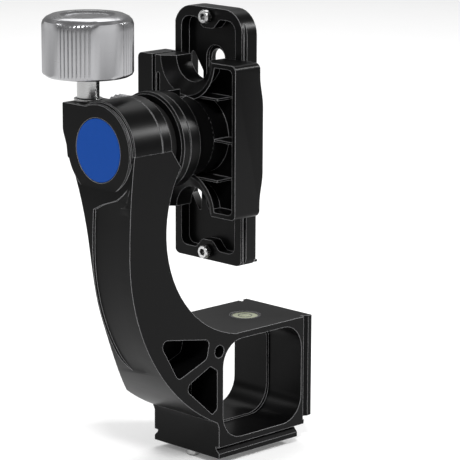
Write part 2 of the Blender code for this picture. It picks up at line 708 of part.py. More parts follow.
def tilt_journal(owner):
    profile = [
        (0, SHOULDER + GAP),
        (NECK_RADIUS, SHOULDER + GAP),
        (NECK_RADIUS, CHAMBER_FRONT + GAP),
        (JOURNAL_RADIUS, CHAMBER_FRONT + GAP),
        (JOURNAL_RADIUS, FLANGE_FRONT),
        (FLANGE_RADIUS - FLANGE_CHAMFER, FLANGE_FRONT),
        (FLANGE_RADIUS, FLANGE_FRONT + FLANGE_CHAMFER),
        (FLANGE_RADIUS, FLANGE_REAR - FINE),
        (FLANGE_RADIUS - FINE, FLANGE_REAR),
        (SPIGOT_RADIUS, FLANGE_REAR),
        (SPIGOT_RADIUS, FLANGE_REAR + SPIGOT_LENGTH),
        (0, FLANGE_REAR + SPIGOT_LENGTH),
    ]
    body = turned("tilt_journal", profile, AXIS, "X", 48)
    bore = BOLT_RADIUS + GAP
    cut(body, rod("screw_bore", bore, AXIS, "X", SHOULDER - OVER, SHOULDER + BOLT_GRIP + GAP, 20))
    spigot_end = FLANGE_REAR + SPIGOT_LENGTH
    bolt_end = spigot_end - BOLT_GRIP - GAP
    cut(body, rod("bolt_bore", bore, AXIS, "X", bolt_end, spigot_end + OVER, 20), sturdy=True)
    finish(body, ANODISED, owner)
    washer_low = SHOULDER - WASHER_ROOM + GAP
    washer_high = SHOULDER - GAP
    sink = NECK_RADIUS / 2
    washer = turned("retaining_washer", [
        (WASHER_RADIUS, washer_low),
        (WASHER_RADIUS, washer_high),
        (BOLT_RADIUS + GAP, washer_high),
        (sink + GAP, washer_low),
    ], AXIS, "X", 32, looped=True)
    finish(washer, BRIGHT_STEEL, owner)
    screw = turned("retaining_screw", [
        (0, washer_low),
        (sink - FINE, washer_low),
        (BOLT_RADIUS - FINE, washer_high),
        (BOLT_RADIUS - FINE, SHOULDER + BOLT_GRIP),
        (0, SHOULDER + BOLT_GRIP),
    ], AXIS, "X", 20)
    finish(screw, BRIGHT_STEEL, owner)


def jaw_height(height):
    """How far a jaw stands over the seat: low at both ends, swelling in the middle."""
    away = abs(height - AXIS_HEIGHT)
    start = JAW_FLAT_MID / 2
    end = CLAMP_HEIGHT / 2 - JAW_FLAT_END
    share = min(1, max(0, (away - start) / (end - start)))
    ease = (1 + math.cos(math.pi * share)) / 2
    return JAW_END_HEIGHT + (JAW_MID_HEIGHT - JAW_END_HEIGHT) * ease


def bulge_outline():
    """The clamp's side view: a flat front, with the jaws' swelling back edge."""
    steps = 28
    heights = [CLAMP_LOW + CLAMP_HEIGHT * i / steps for i in range(steps + 1)]
    back = [(SEAT + jaw_height(height), height) for height in heights]
    back[0] = (back[0][0] - FINE, CLAMP_LOW)
    back[-1] = (back[-1][0] - FINE, CLAMP_TOP)
    corner = [(CLAMP_FACE, CLAMP_TOP), (CLAMP_FACE, CLAMP_LOW)]
    return back + corner


def channel_outline(side):
    """The dovetail channel's wall and tooth on one side, with the space beyond them, as (x, y) pairs."""
    tooth_low = PLATE_FACE + PLATE_LIP + GAP / 2
    tooth_top = PLATE_FACE + PLATE_LIP + PLATE_NOTCH
    tooth = LIP_HALF - (tooth_top - tooth_low)
    points = [
        (SEAT, LIP_HALF),
        (tooth_low, LIP_HALF),
        (tooth_top, tooth),
        (tooth_top + FINE / 4, LIP_HALF),
        (PLATE_BACK, LIP_HALF),
    ]
    return [(x, side * y) for x, y in points]


def notch_cutters(height, rim=0):
    """A U notch at one end of the clamp, with a slanted rim on its front."""
    centre = Vector((0, 0, height))
    profile = [
        (0, CLAMP_FACE - OVER),
        (NOTCH_RIM_RADIUS + rim + FINE, CLAMP_FACE - OVER),
        (NOTCH_RIM_RADIUS + rim, CLAMP_FACE),
        (NOTCH_RADIUS + rim, CLAMP_FACE + NOTCH_RIM_DEPTH),
        (NOTCH_RADIUS + rim, SEAT + OVER),
        (0, SEAT + OVER),
    ]
    return turned("notch_rim" if rim else "notch", profile, centre, "X", 40)


def clamp_pocket_cutter():
    """The ribbed pocket between hub and fixed jaw, kept clear of hub, notch rims and ribs."""
    low = CLAMP_LOW + POCKET_WALL
    high = CLAMP_TOP - POCKET_WALL
    edge = CLAMP_HALF - POCKET_WALL
    outline = rounded(box_outline(-edge, low, -FINE, high), CLAMP_ROUND)
    pocket = prism("clamp_pocket", outline, "X", CLAMP_FACE - OVER, CLAMP_FACE + CLAMP_POCKET_DEPTH)
    cut(pocket, rod("pocket_hub", HUB_FOOT_RADIUS, AXIS, "X", CLAMP_FACE - 2 * OVER, SEAT, 64))
    for height in (CLAMP_TOP, CLAMP_LOW):
        cut(pocket, notch_cutters(height, POCKET_WALL))
    for spread in (-CLAMP_RIB_SPREAD, 0, CLAMP_RIB_SPREAD):
        middle = AXIS_HEIGHT + spread
        reach = CLAMP_STUB_REACH if spread else CLAMP_HALF
        rib = box_outline(-reach, middle - CLAMP_RIB / 2, 0, middle + CLAMP_RIB / 2)
        cut(pocket, prism("pocket_rib", rib, "X", CLAMP_FACE + FINE, SEAT))
    return pocket


def hub_body():
    profile = [
        (0, HUB_FRONT),
        (HUB_RADIUS - FINE, HUB_FRONT),
        (HUB_RADIUS, HUB_FRONT + FINE),
        (HUB_RADIUS, HUB_END - FINE),
        (HUB_RADIUS - FINE, HUB_END),
    ]
    steps = 5
    for i in range(1, steps + 1):
        turn = math.pi / 2 * i / steps
        profile.append((
            HUB_WAIST_RADIUS + (HUB_RADIUS - FINE - HUB_WAIST_RADIUS) * (1 - math.sin(turn)),
            HUB_END + HUB_WAIST_RUN * (1 - math.cos(turn)),
        ))
    profile += [
        (HUB_FOOT_RADIUS, CLAMP_FACE - FINE),
        (HUB_FOOT_RADIUS, CLAMP_FACE + OVERLAP),
        (0, CLAMP_FACE + OVERLAP),
    ]
    return turned("hub", profile, AXIS, "X", 48)


def clamp_body(owner):
    """Hub, clamp plate and fixed jaw in one piece, with the channel that the lens plate slides in."""
    corners = box_outline(-CLAMP_HALF, CLAMP_LOW, BODY_EDGE, CLAMP_TOP)
    outline = rounded(corners, [CLAMP_ROUND, FINE, FINE, CLAMP_ROUND])
    body = prism("clamp_body", outline, "X", CLAMP_FACE - OVERLAP, SEAT + JAW_MID_HEIGHT + OVER)
    keep(body, prism("clamp_side", bulge_outline(), "Y", -CLAMP_HALF - OVER, CLAMP_HALF + OVER))
    channel = channel_outline(-1) + [(PLATE_BACK, CLAMP_HALF), (SEAT, CLAMP_HALF)]
    cut(body, prism("channel", channel, "Z", CLAMP_LOW - OVER, CLAMP_TOP + OVER))
    cut(body, clamp_pocket_cutter())
    join(body, hub_body())
    half_hub = arc((0, AXIS_HEIGHT), HUB_RADIUS - FINE / 2, -90, 90, 28)
    join(body, prism("hub_fill", half_hub, "X", HUB_END - OVERLAP, CLAMP_FACE + OVERLAP), sturdy=True)
    for height in (CLAMP_TOP, CLAMP_LOW):
        cut(body, notch_cutters(height), sturdy=True)
    slot_top = AXIS_HEIGHT + CLAMP_HEIGHT / 2 - SIDE_SLOT_TOP
    slot_y = BODY_EDGE - JAW_SLIT
    slot_low = slot_top - SIDE_SLOT_LENGTH
    slot_box = box_outline(slot_y - SIDE_SLOT_HALF, slot_low, slot_y + SIDE_SLOT_HALF, slot_top)
    slot = rounded(slot_box, SIDE_SLOT_HALF * 0.95, 4)
    cut(body, prism("side_slot", slot, "X", CLAMP_FACE - OVER, CLAMP_FACE + SIDE_SLOT_DEPTH), sturdy=True)
    head_low = SEAT - BOLT_HEAD - 2 * GAP
    spigot_end = FLANGE_REAR + SPIGOT_LENGTH + GAP
    cut(body, turned("hub_bore", [
        (0, HUB_FRONT - OVER),
        (SPIGOT_RADIUS + GAP, HUB_FRONT - OVER),
        (SPIGOT_RADIUS + GAP, spigot_end),
        (BOLT_RADIUS + GAP, spigot_end),
        (BOLT_RADIUS + GAP, head_low),
        (BOLT_HEAD_RADIUS + GAP, head_low),
        (BOLT_HEAD_RADIUS + GAP, SEAT + OVER),
        (0, SEAT + OVER),
    ], AXIS, "X", 40), sturdy=True)
    screw_line = Vector((SCREW_X, 0, AXIS_HEIGHT))
    tip = CLAMP_SCREW_TIP - GAP
    bore = CLAMP_SCREW_RADIUS + GAP
    cut(body, rod("clamp_screw_bore", bore, screw_line, "Y", tip, CLAMP_HALF, 24), sturdy=True)
    for place in guide_places():
        guide_low = BODY_EDGE - GUIDE_DEPTH
        cut(body, rod("guide_bore", GUIDE_RADIUS + GAP, place, "Y", guide_low, CLAMP_HALF, 20), sturdy=True)
    finish(body, ANODISED, owner)
    bolt_end = FLANGE_REAR + SPIGOT_LENGTH - BOLT_GRIP
    bolt = turned("hub_bolt", [
        (0, bolt_end),
        (BOLT_RADIUS, bolt_end),
        (BOLT_RADIUS, head_low + GAP),
        (BOLT_HEAD_RADIUS, head_low + GAP),
        (BOLT_HEAD_RADIUS, SEAT - GAP - FINE),
        (BOLT_HEAD_RADIUS - FINE, SEAT - GAP),
        (BOLT_SOCKET, SEAT - GAP),
        (BOLT_SOCKET, SEAT - GAP - BOLT_SOCKET_DEPTH),
        (0, SEAT - GAP - BOLT_SOCKET_DEPTH),
    ], AXIS, "X", 24)
    finish(bolt, BRIGHT_STEEL, owner)
    for name, place in zip(("jaw_pin_lower", "jaw_pin_upper"), guide_places()):
        low = BODY_EDGE - GUIDE_DEPTH + GAP
        high = JAW_EDGE + GUIDE_DEPTH - GAP
        finish(rod(name, GUIDE_RADIUS, place, "Y", low, high, 20), BRIGHT_STEEL, owner)


def guide_places():
    return [Vector((SCREW_X, 0, AXIS_HEIGHT + side * GUIDE_SPREAD)) for side in (-1, 1)]


def movable_jaw(owner):
    outline = channel_outline(1)[:-1] + [(SEAT + JAW_MID_HEIGHT + OVER, LIP_HALF)]
    outline += [(SEAT + JAW_MID_HEIGHT + OVER, CLAMP_HALF), (CLAMP_FACE, CLAMP_HALF), (CLAMP_FACE, JAW_EDGE)]
    outline += [(SEAT, JAW_EDGE)]
    body = prism("movable_jaw", outline, "Z", CLAMP_LOW, CLAMP_TOP)
    keep(body, prism("jaw_side", bulge_outline(), "Y", 0, CLAMP_HALF + OVER))
    ends = rounded(box_outline(0, CLAMP_LOW, CLAMP_HALF, CLAMP_TOP), [FINE, CLAMP_ROUND, CLAMP_ROUND, FINE])
    keep(body, prism("jaw_ends", ends, "X", CLAMP_FACE - OVER, PLATE_BACK))
    screw_line = Vector((SCREW_X, 0, AXIS_HEIGHT))
    cut(body, rod("jaw_screw_bore", CLAMP_SCREW_RADIUS + GAP, screw_line, "Y", 0, CLAMP_HALF + OVER, 24))
    cut(body, rod("spring_seat", SPRING_OUTER + GAP, screw_line, "Y", 0, JAW_EDGE + SPRING_ROOM / 2, 32))
    guide_end = JAW_EDGE + GUIDE_DEPTH
    for place in guide_places():
        cut(body, rod("jaw_guide_bore", GUIDE_RADIUS + GAP, place, "Y", 0, guide_end, 20), sturdy=True)
    finish(body, ANODISED, owner)


def fluted(radius, depth, teeth, samples=2):
    """A round outline with shallow rounded flutes, as (a, b) pairs."""
    count = teeth * samples
    outline = []
    for i in range(count):
        turn = math.tau * i / count
        dip = depth * (1 - math.cos(teeth * turn)) / 2
        outline.append(((radius - dip) * math.cos(turn), (radius - dip) * math.sin(turn)))
    return outline


def clamp_knob(owner):
    """The knurled knob on the jaw's outer side, with its screw through the jaw into the body."""
    start = CLAMP_HALF + GAP
    neck_end = start + CLAMP_KNOB_NECK_LENGTH
    end = neck_end + CLAMP_KNOB_LENGTH
    line = Vector((SCREW_X, 0, AXIS_HEIGHT))
    shape = fluted(CLAMP_KNOB_RADIUS, CLAMP_KNOB_FLUTE, CLAMP_KNOB_TEETH)
    small = (CLAMP_KNOB_RADIUS - CLAMP_KNOB_CHAMFER) / CLAMP_KNOB_RADIUS
    rings = []
    full = (neck_end + CLAMP_KNOB_CHAMFER, end - CLAMP_KNOB_CHAMFER)
    for scale, run in ((small, neck_end), (1, full[0]), (1, full[1]), (small, end)):
        rings.append([(line.x + a * scale, run, line.z + b * scale) for a, b in shape])
    body = solid("clamp_knob", rings)
    join(body, rod("knob_neck", CLAMP_KNOB_NECK, line, "Y", start, neck_end + OVERLAP, 40))
    bore_end = start + CLAMP_SCREW_DEPTH + GAP
    cut(body, rod("knob_screw_bore", CLAMP_SCREW_RADIUS + GAP, line, "Y", 0, bore_end, 24))
    finish(body, SATIN_SILVER, owner)
    finish(rod("clamp_screw", CLAMP_SCREW_RADIUS, line, "Y", CLAMP_SCREW_TIP, start + CLAMP_SCREW_DEPTH, 24),
           BRIGHT_STEEL, owner)


def plate_outline():
    half = PLATE_WIDTH / 2
    rounds = [PLATE_FOOT_ROUND] * 2 + [PLATE_TOP_ROUND] * 2
    return rounded(box_outline(-half, PLATE_LOW, half, PLATE_TOP), rounds, 8)


def stop_places():
    return [Vector((0, 0, PLATE_TOP - STOP_INSET)), Vector((0, 0, PLATE_LOW + STOP_INSET))]


def recess_cutter():
    """The plate's deep hollow, with a boss left standing into it at each end for the stop screw."""
    half = PLATE_WIDTH / 2 - PLATE_RIM
    foot = PLATE_LOW + PLATE_END_RIM
    top = PLATE_TOP - PLATE_END_RIM
    boss = [(BOSS_HALF, 0), (BOSS_TOP_HALF, BOSS_RISE), (-BOSS_TOP_HALF, BOSS_RISE), (-BOSS_HALF, 0)]
    corners = [(half, foot), (half, top)] + [(across, top - rise) for across, rise in boss]
    corners += [(-half, top), (-half, foot)] + [(-across, foot + rise) for across, rise in boss]
    ends = [PLATE_FOOT_ROUND, RECESS_ROUND]
    rounds = ends + [BOSS_ROUND] * 4 + ends[::-1] + [BOSS_ROUND] * 4
    return prism("recess", rounded(corners, rounds), "X", PLATE_FACE - OVER, PLATE_FACE + PLATE_RECESS)


def lightening_cutters():
    """Four tapered windows: the upper pair points up and out, the lower pair down and in."""
    edge = PLATE_WIDTH / 2 - LIGHTENING_INSET
    inner = SLOT_RIM_HALF + LIGHTENING_WEB
    low_inner = inner + LIGHTENING_ROUND
    upper = [(edge, LIGHTENING_TOP), (edge, LIGHTENING_FOOT)]
    upper += [(inner, LIGHTENING_FOOT), (inner, LIGHTENING_MIDDLE)]
    lower = [(edge, -LIGHTENING_SHOULDER), (edge, -LIGHTENING_FOOT), (low_inner, -LIGHTENING_FOOT)]
    lower += [(low_inner, -LIGHTENING_TIP)]
    tools = []
    for corners in (upper, lower):
        for side in (-1, 1):
            placed = [(side * across, AXIS_HEIGHT + rise) for across, rise in corners]
            outline = rounded(placed, LIGHTENING_ROUND, 4)
            tools.append(prism("lightening", outline, "X", PLATE_FACE, PLATE_BACK + OVER))
    return tools


def slot_outline(half):
    low = AXIS_HEIGHT - SLOT_REACH + SLOT_RIM_HALF
    high = AXIS_HEIGHT + SLOT_REACH - SLOT_RIM_HALF
    return arc((0, high), half, 0, 180, 12) + arc((0, low), half, 180, 360, 12)


def lens_plate(owner):
    body = prism("lens_plate", plate_outline(), "X", PLATE_FACE, PLATE_BACK)
    toe_low = PLATE_LOW + PLATE_TOE_RISE
    toe = box_outline(PLATE_BACK - OVERLAP, toe_low, PLATE_BACK + PLATE_TOE, toe_low + PLATE_TOE_THICK)
    join(body, prism("toe", toe, "Y", -PLATE_WIDTH / 2, PLATE_WIDTH / 2))
    cut(body, recess_cutter())
    edge = PLATE_WIDTH / 2
    floor = edge - PLATE_NOTCH
    lip_end = PLATE_FACE + PLATE_LIP
    slope_end = lip_end + PLATE_NOTCH
    for side in (-1, 1):
        groove = [
            (lip_end - OVER, side * (edge + OVER)),
            (slope_end, side * floor),
            (slope_end + PLATE_NECK, side * floor),
            (slope_end + PLATE_NECK, side * (edge + OVER)),
        ]
        cut(body, prism("plate_groove", groove, "Z", PLATE_LOW - OVER, PLATE_TOP + OVER))
        bevel = [
            (PLATE_FACE - FINE, side * (edge - PLATE_CHAMFER - FINE)),
            (PLATE_FACE + PLATE_CHAMFER + FINE, side * (edge + FINE)),
            (PLATE_FACE - FINE, side * (edge + FINE)),
        ]
        cut(body, prism("plate_bevel", bevel, "Z", PLATE_LOW - OVER, PLATE_TOP + OVER))
    cut(body, prism("screw_slot", slot_outline(SLOT_HALF), "X", PLATE_FACE - OVER, PLATE_BACK + OVER))
    rim_depth = PLATE_FACE + PLATE_RECESS + SLOT_RIM_DEPTH
    cut(body, prism("slot_rim", slot_outline(SLOT_RIM_HALF), "X", PLATE_FACE - OVER, rim_depth))
    for tool in lightening_cutters():
        cut(body, tool, sturdy=True)
    for place in stop_places():
        high = PLATE_FACE + STOP_SHANK_LENGTH + GAP
        cut(body, rod("stop_bore", STOP_SHANK + GAP, place, "X", PLATE_FACE - OVER, high, 16), sturdy=True)
    finish(body, ANODISED, owner)
    for name, place in zip(("stop_screw_top", "stop_screw_bottom"), stop_places()):
        base = PLATE_FACE - GAP
        tip = base - STOP_HEAD
        screw = turned(name, [
            (0, tip + STOP_SOCKET_DEPTH),
            (STOP_SOCKET, tip + STOP_SOCKET_DEPTH),
            (STOP_SOCKET, tip),
            (STOP_RADIUS - FINE, tip),
            (STOP_RADIUS, tip + FINE),
            (STOP_RADIUS, base),
            (STOP_SHANK, base),
            (STOP_SHANK, base + STOP_SHANK_LENGTH),
            (0, base + STOP_SHANK_LENGTH),
        ], place, "X", 14)
        finish(screw, BRIGHT_STEEL, owner)


def knob_radius(turn, scallop):
    """The lock knob's outline: four fluted bands with four smooth scallops between them."""
    period = 360 / KNOB_BANDS
    away = (math.degrees(turn) - KNOB_BAND_TURN + period / 2) % period - period / 2
    half = KNOB_BAND_SPREAD / 2
    if abs(away) < half:
        wave = (1 - math.cos(math.tau * KNOB_FLUTES * (away + half) / KNOB_BAND_SPREAD)) / 2
        return KNOB_RADIUS - KNOB_FLUTE_DEPTH * wave * scallop
    reach = (period - KNOB_BAND_SPREAD) / 2
    share = (abs(away) - half) / reach
    return KNOB_RADIUS - KNOB_SCALLOP_DEPTH * math.sin(math.pi / 2 * min(1, share * 1.6)) * scallop


def knob_turns():
    """Angles for the outline, close together in the fluted bands and wide apart in the scallops."""
    turns = []
    for band in range(KNOB_BANDS):
        start = KNOB_BAND_TURN + band * 360 / KNOB_BANDS - KNOB_BAND_SPREAD / 2
        fine = KNOB_FLUTES * 2
        turns += [start + KNOB_BAND_SPREAD * i / fine for i in range(fine)]
        rest = 360 / KNOB_BANDS - KNOB_BAND_SPREAD
        coarse = 7
        turns += [start + KNOB_BAND_SPREAD + rest * i / coarse for i in range(coarse)]
    return [math.radians(turn) for turn in turns]


def lock_knob(owner):
    place = Vector((LOCK_X, LOCK_OFFSET, 0))
    top = KNOB_LOW + KNOB_HEIGHT
    levels = [
        (KNOB_LOW, KNOB_CHAMFER, 0.0),
        (KNOB_LOW + KNOB_CHAMFER * 0.4, KNOB_CHAMFER * 0.3, 0.6),
        (KNOB_LOW + KNOB_CHAMFER, 0, 1.0),
        (top - KNOB_SHOULDER * 1.5, 0, 1.0),
        (top - KNOB_SHOULDER, 0, 0.75),
        (top - KNOB_SHOULDER * 0.6, KNOB_SHOULDER * 0.12, 0.3),
        (top - KNOB_SHOULDER * 0.25, KNOB_SHOULDER * 0.45, 0.0),
        (top, KNOB_SHOULDER, 0.0),
    ]
    rings = []
    for run, inset, depth in levels:
        ring = []
        for turn in knob_turns():
            radius = knob_radius(turn, depth) - inset
            ring.append((place.x + radius * math.cos(turn), place.y + radius * math.sin(turn), run))
        rings.append(ring)
    body = solid("lock_knob", rings)
    cut(body, turned("knob_dish", [
        (0, top - KNOB_DISH_DEPTH),
        (KNOB_DISH_RADIUS - KNOB_DISH_DEPTH, top - KNOB_DISH_DEPTH),
        (KNOB_DISH_RADIUS, top),
        (KNOB_DISH_RADIUS + OVER, top + OVER),
        (0, top + OVER),
    ], place, "Z", 40))
    socket_end = KNOB_LOW + KNOB_SOCKET + GAP
    cut(body, rod("knob_bore", STUD_RADIUS + GAP, place, "Z", KNOB_LOW - OVER, socket_end, 24))
    finish(body, SATIN_SILVER, owner, 28)
    shank_low = SHOE_TOP + GAP
    stud = turned("lock_stud", [
        (0, shank_low),
        (STUD_SHANK, shank_low),
        (STUD_SHANK, STUD_LOW),
        (STUD_RADIUS, STUD_LOW),
        (STUD_RADIUS, KNOB_LOW + KNOB_SOCKET),
        (0, KNOB_LOW + KNOB_SOCKET),
    ], place, "Z", 28)
    finish(stud, BRIGHT_STEEL, owner)


def brake_shoe(owner):
    """A plug beside the journal, scooped to the journal's curve where it bears on it."""
    place = Vector((LOCK_X, LOCK_OFFSET, 0))
    body = rod("brake_shoe", SHOE_RADIUS, place, "Z", SHOE_LOW, SHOE_TOP, 20)
    cut(body, rod("shoe_scoop", JOURNAL_RADIUS + GAP, AXIS, "X", HOUSING_FRONT, HOUSING_REAR, 64))
    finish(body, BRONZE, owner)


def jaw_spring(owner):
    """A short spring round the clamp screw that opens the jaw when the knob is turned back."""
    line = Vector((SCREW_X, 0, AXIS_HEIGHT))
    low = BODY_EDGE + GAP
    high = JAW_EDGE + SPRING_ROOM / 2 - GAP
    finish(sleeve("jaw_spring", SPRING_OUTER, SPRING_OUTER - 2 * SPRING_WIRE, line, "Y", low, high, 20),
           BRIGHT_STEEL, owner)


tilt = pivot("tilt_pivot", AXIS)
jaw = pivot("jaw_slide", Vector((SCREW_X, JAW_EDGE, AXIS_HEIGHT)))
turner = pivot("clamp_knob_pivot", Vector((SCREW_X, CLAMP_HALF, AXIS_HEIGHT)))
slide = pivot("plate_slide", Vector((PLATE_FACE, 0, AXIS_HEIGHT)))
lock = pivot("lock_pivot", Vector((LOCK_X, LOCK_OFFSET, EAR_TOP)))

arm_frame()
housing_fittings()
tilt_journal(tilt)
clamp_body(tilt)
movable_jaw(jaw)
jaw_spring(tilt)
clamp_knob(turner)
lens_plate(slide)
lock_knob(lock)
brake_shoe(lock)
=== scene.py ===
import math

import bmesh
import bpy
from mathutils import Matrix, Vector


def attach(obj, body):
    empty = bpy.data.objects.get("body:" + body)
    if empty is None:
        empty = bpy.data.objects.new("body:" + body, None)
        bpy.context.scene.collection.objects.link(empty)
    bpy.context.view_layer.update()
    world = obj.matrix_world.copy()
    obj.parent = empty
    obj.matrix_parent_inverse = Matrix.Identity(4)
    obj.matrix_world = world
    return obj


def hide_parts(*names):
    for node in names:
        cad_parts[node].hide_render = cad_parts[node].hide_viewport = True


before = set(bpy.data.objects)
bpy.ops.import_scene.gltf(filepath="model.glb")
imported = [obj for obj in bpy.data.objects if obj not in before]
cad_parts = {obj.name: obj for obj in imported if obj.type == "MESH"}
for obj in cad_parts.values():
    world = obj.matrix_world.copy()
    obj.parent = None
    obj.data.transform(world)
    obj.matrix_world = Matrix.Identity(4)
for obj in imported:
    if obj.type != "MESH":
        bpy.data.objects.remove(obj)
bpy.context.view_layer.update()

# The studio: a pale seamless floor, a soft white surround and four lamps round a head about 18 cm tall.
# The camera is a long lens on a rising front, low on the side of the disc and the near flank.
MM = 0.001
CAMERA_PLACE = Vector((-714.45, -719.5, 312.7)) * MM
CAMERA_BACK = Vector((-0.6757, -0.7029, 0.2224))
SENSOR = 36.0
FOCUS = 199.4
SHIFT = (0.0947, 0.0358)
CLIP_NEAR, CLIP_FAR = 0.05, 20.0
FLOOR_DROP = 2.9 * MM
FLOOR_REACH = 6.0
FLOOR_GLOW = 0.16
FLOOR_DULL, FLOOR_CLEAN = (0.90, 0.90, 0.90), (0.93, 0.93, 0.93)
DUST_GRAIN = 40.0
SURROUND_LIGHT = 0.30
HEAD_MIDDLE = (0, 0, 90)
BACK_SPOT = (600, 650, 0)
LAMPS = (
    ("key_lamp", (-520, -560, 820), (180, 180), 6, HEAD_MIDDLE),
    ("right_lamp", (676, -577, 588), (160, 160), 6, HEAD_MIDDLE),
    ("left_lamp", (-560, 480, 560), (120, 400), 2, HEAD_MIDDLE),
    ("back_lamp", (600, 650, 1200), (1000, 1000), 10, BACK_SPOT),
)

studio = bpy.context.scene
studio.view_settings.view_transform = "Standard"


class Link:
    """A shader socket that adds a Math node when it is used in a sum."""

    def __init__(self, finish, socket):
        self.finish = finish
        self.socket = socket

    def maths(self, operation, *values):
        return self.finish.node("ShaderNodeMath", {"operation": operation}, *values)

    def __add__(self, other):
        return self.maths("ADD", self, other)

    __radd__ = __add__

    def __sub__(self, other):
        return self.maths("SUBTRACT", self, other)

    def __rsub__(self, other):
        return self.maths("SUBTRACT", other, self)

    def __mul__(self, other):
        return self.maths("MULTIPLY", self, other)

    __rmul__ = __mul__

    def atmost(self, other):
        return self.maths("MINIMUM", self, other)

    def between(self, low, high):
        """0 below low, 1 above high and a smooth step between them."""
        settings = {"interpolation_type": "SMOOTHSTEP"}
        return self.finish.node("ShaderNodeMapRange", settings, self, low, high, 0.0, 1.0)


class Finish:
    """A material in the making: its tree, its main shader, and the one method that adds a node."""

    def __init__(self, name, **values):
        self.material = bpy.data.materials.new(name)
        self.material.use_nodes = True
        self.tree = self.material.node_tree
        self.shader = self.tree.nodes["Principled BSDF"]
        for key, value in values.items():
            self.shader.inputs[key.replace("_", " ")].default_value = value

    def node(self, kind, settings=None, *values, out=0, **named):
        made = self.tree.nodes.new(kind)
        for key, value in (settings or {}).items():
            setattr(made, key, value)
        places = [socket for socket in made.inputs if socket.enabled]
        for place, value in zip(places, values):
            self.feed(place, value)
        for key, value in named.items():
            self.feed(made.inputs[key.replace("_", " ")], value)
        outputs = [socket for socket in made.outputs if socket.enabled]
        return Link(self, made.outputs[out] if isinstance(out, str) else outputs[out])

    def feed(self, place, value):
        if isinstance(value, Link):
            self.tree.links.new(value.socket, place)
        elif isinstance(value, tuple) and len(value) == 3 and place.type == "RGBA":
            place.default_value = (*value, 1.0)
        else:
            place.default_value = value

    def set(self, **values):
        for key, value in values.items():
            self.feed(self.shader.inputs[key.replace("_", " ")], value)
        return self.material

    def blend(self, factor, first, second):
        """Mixes two colours, each a link or three numbers."""
        return self.node("ShaderNodeMix", {"data_type": "RGBA"}, factor, first, second)

    def spot(self):
        """The place on the piece, in the piece's own frame."""
        return self.node("ShaderNodeTexCoord", out="Object")

    def noise(self, place, scale, detail, **named):
        return self.node("ShaderNodeTexNoise", {}, Vector=place, Scale=scale, Detail=detail, **named)

    def rounded(self, samples, radius):
        """The surface's direction, rounded over sharp edges as if they were broken."""
        return self.node("ShaderNodeBevel", {"samples": samples}, Radius=radius)


def placed(name, data):
    made = bpy.data.objects.new(name, data)
    studio.collection.objects.link(made)
    return made


def aimed(made, direction):
    made.rotation_mode = "QUATERNION"
    made.rotation_quaternion = direction.to_track_quat("-Z", "Y")


paint = Finish("floor_paint", Roughness=0.9, Emission_Color=(1, 1, 1, 1), Emission_Strength=FLOOR_GLOW)
dust = paint.noise(paint.node("ShaderNodeNewGeometry", out="Position"), DUST_GRAIN, 3.0)
paint.set(Base_Color=paint.blend(dust, FLOOR_DULL, FLOOR_CLEAN))
corners = [(x * FLOOR_REACH, y * FLOOR_REACH, -FLOOR_DROP) for x, y in ((-1, -1), (1, -1), (1, 1), (-1, 1))]
floor_mesh = bpy.data.meshes.new("floor")
floor_mesh.from_pydata(corners, [], [(0, 1, 2, 3)])
floor_mesh.materials.append(paint.material)
placed("floor", floor_mesh)

lens = bpy.data.cameras.new("camera")
lens.sensor_width = SENSOR
lens.lens = FOCUS
lens.shift_x, lens.shift_y = SHIFT
lens.clip_start, lens.clip_end = CLIP_NEAR, CLIP_FAR
camera = placed("camera", lens)
camera.location = CAMERA_PLACE
aimed(camera, -CAMERA_BACK)
studio.camera = camera

world = bpy.data.worlds.new("surround")
studio.world = world
world.use_nodes = True
world.node_tree.nodes["Background"].inputs["Color"].default_value = (1, 1, 1, 1)
world.node_tree.nodes["Background"].inputs["Strength"].default_value = SURROUND_LIGHT

for name, place, size, power, target in LAMPS:
    light = bpy.data.lights.new(name, "AREA")
    light.shape = "RECTANGLE"
    light.size, light.size_y = size[0] * MM, size[1] * MM
    light.energy = power
    lamp = placed(name, light)
    lamp.location = Vector(place) * MM
    aimed(lamp, Vector(target) * MM - lamp.location)
    lamp.visible_camera = False


# The arm and base are one milled piece of aluminium. It is bead blasted and anodised black, so it is satin
# all over, and thin pale highlight lines are painted into the colour along its broken edges.
DYE_SHADE = 0.003
# The second tint is the tint of the painted edge highlight.
DYE_TINT, EDGE_HIGHLIGHT_TINT = (1.0, 1.0, 1.04), (1.0, 1.0, 1.02)
DYE_FADE = 0.85
# This factor sets how much brighter the painted edge highlight is than the dye's shade.
EDGE_HIGHLIGHT_TIMES = 130
SATIN = 0.30
EDGE_BREAK = 0.35 * MM
BLAST_GRAIN, CLOUD_GRAIN = 2600.0, 45.0
BLAST_DEPTH = 0.02 * MM
WELD = 0.002 * MM
SHARP_BEND = 28


def anodised(name):
    dye = Finish(name, Specular_IOR_Level=0.08)
    spot = dye.spot()
    blast = dye.noise(spot, BLAST_GRAIN, 3.0, Roughness=0.6)
    cloud = dye.noise(spot, CLOUD_GRAIN, 2.0)
    broken = dye.rounded(6, EDGE_BREAK)
    plain = dye.node("ShaderNodeNewGeometry", out="Normal")
    agree = dye.node("ShaderNodeVectorMath", {"operation": "DOT_PRODUCT"}, broken, plain, out="Value")
    edge = (1 - agree).between(0.004, 0.08)
    # Painted highlight: along broken edges the colour is made pale, standing in for light caught by small bevels.
    painted_edge_highlight = (edge * (0.55 + 0.45 * cloud)).atmost(1.0)
    dark = tuple(DYE_SHADE * part for part in DYE_TINT)
    highlight_colour = tuple(DYE_SHADE * part * EDGE_HIGHLIGHT_TIMES for part in EDGE_HIGHLIGHT_TINT)
    colour = dye.blend(painted_edge_highlight, dye.blend(cloud, tuple(part * DYE_FADE for part in dark), dark), highlight_colour)
    rough = SATIN + 0.08 * (cloud - 0.5) + 0.06 * (blast - 0.5) - 0.08 * edge
    skin = dye.node("ShaderNodeBump", {}, Strength=0.10, Distance=BLAST_DEPTH, Height=blast, Normal=broken)
    return dye.set(Base_Color=colour, Roughness=rough, Normal=skin)


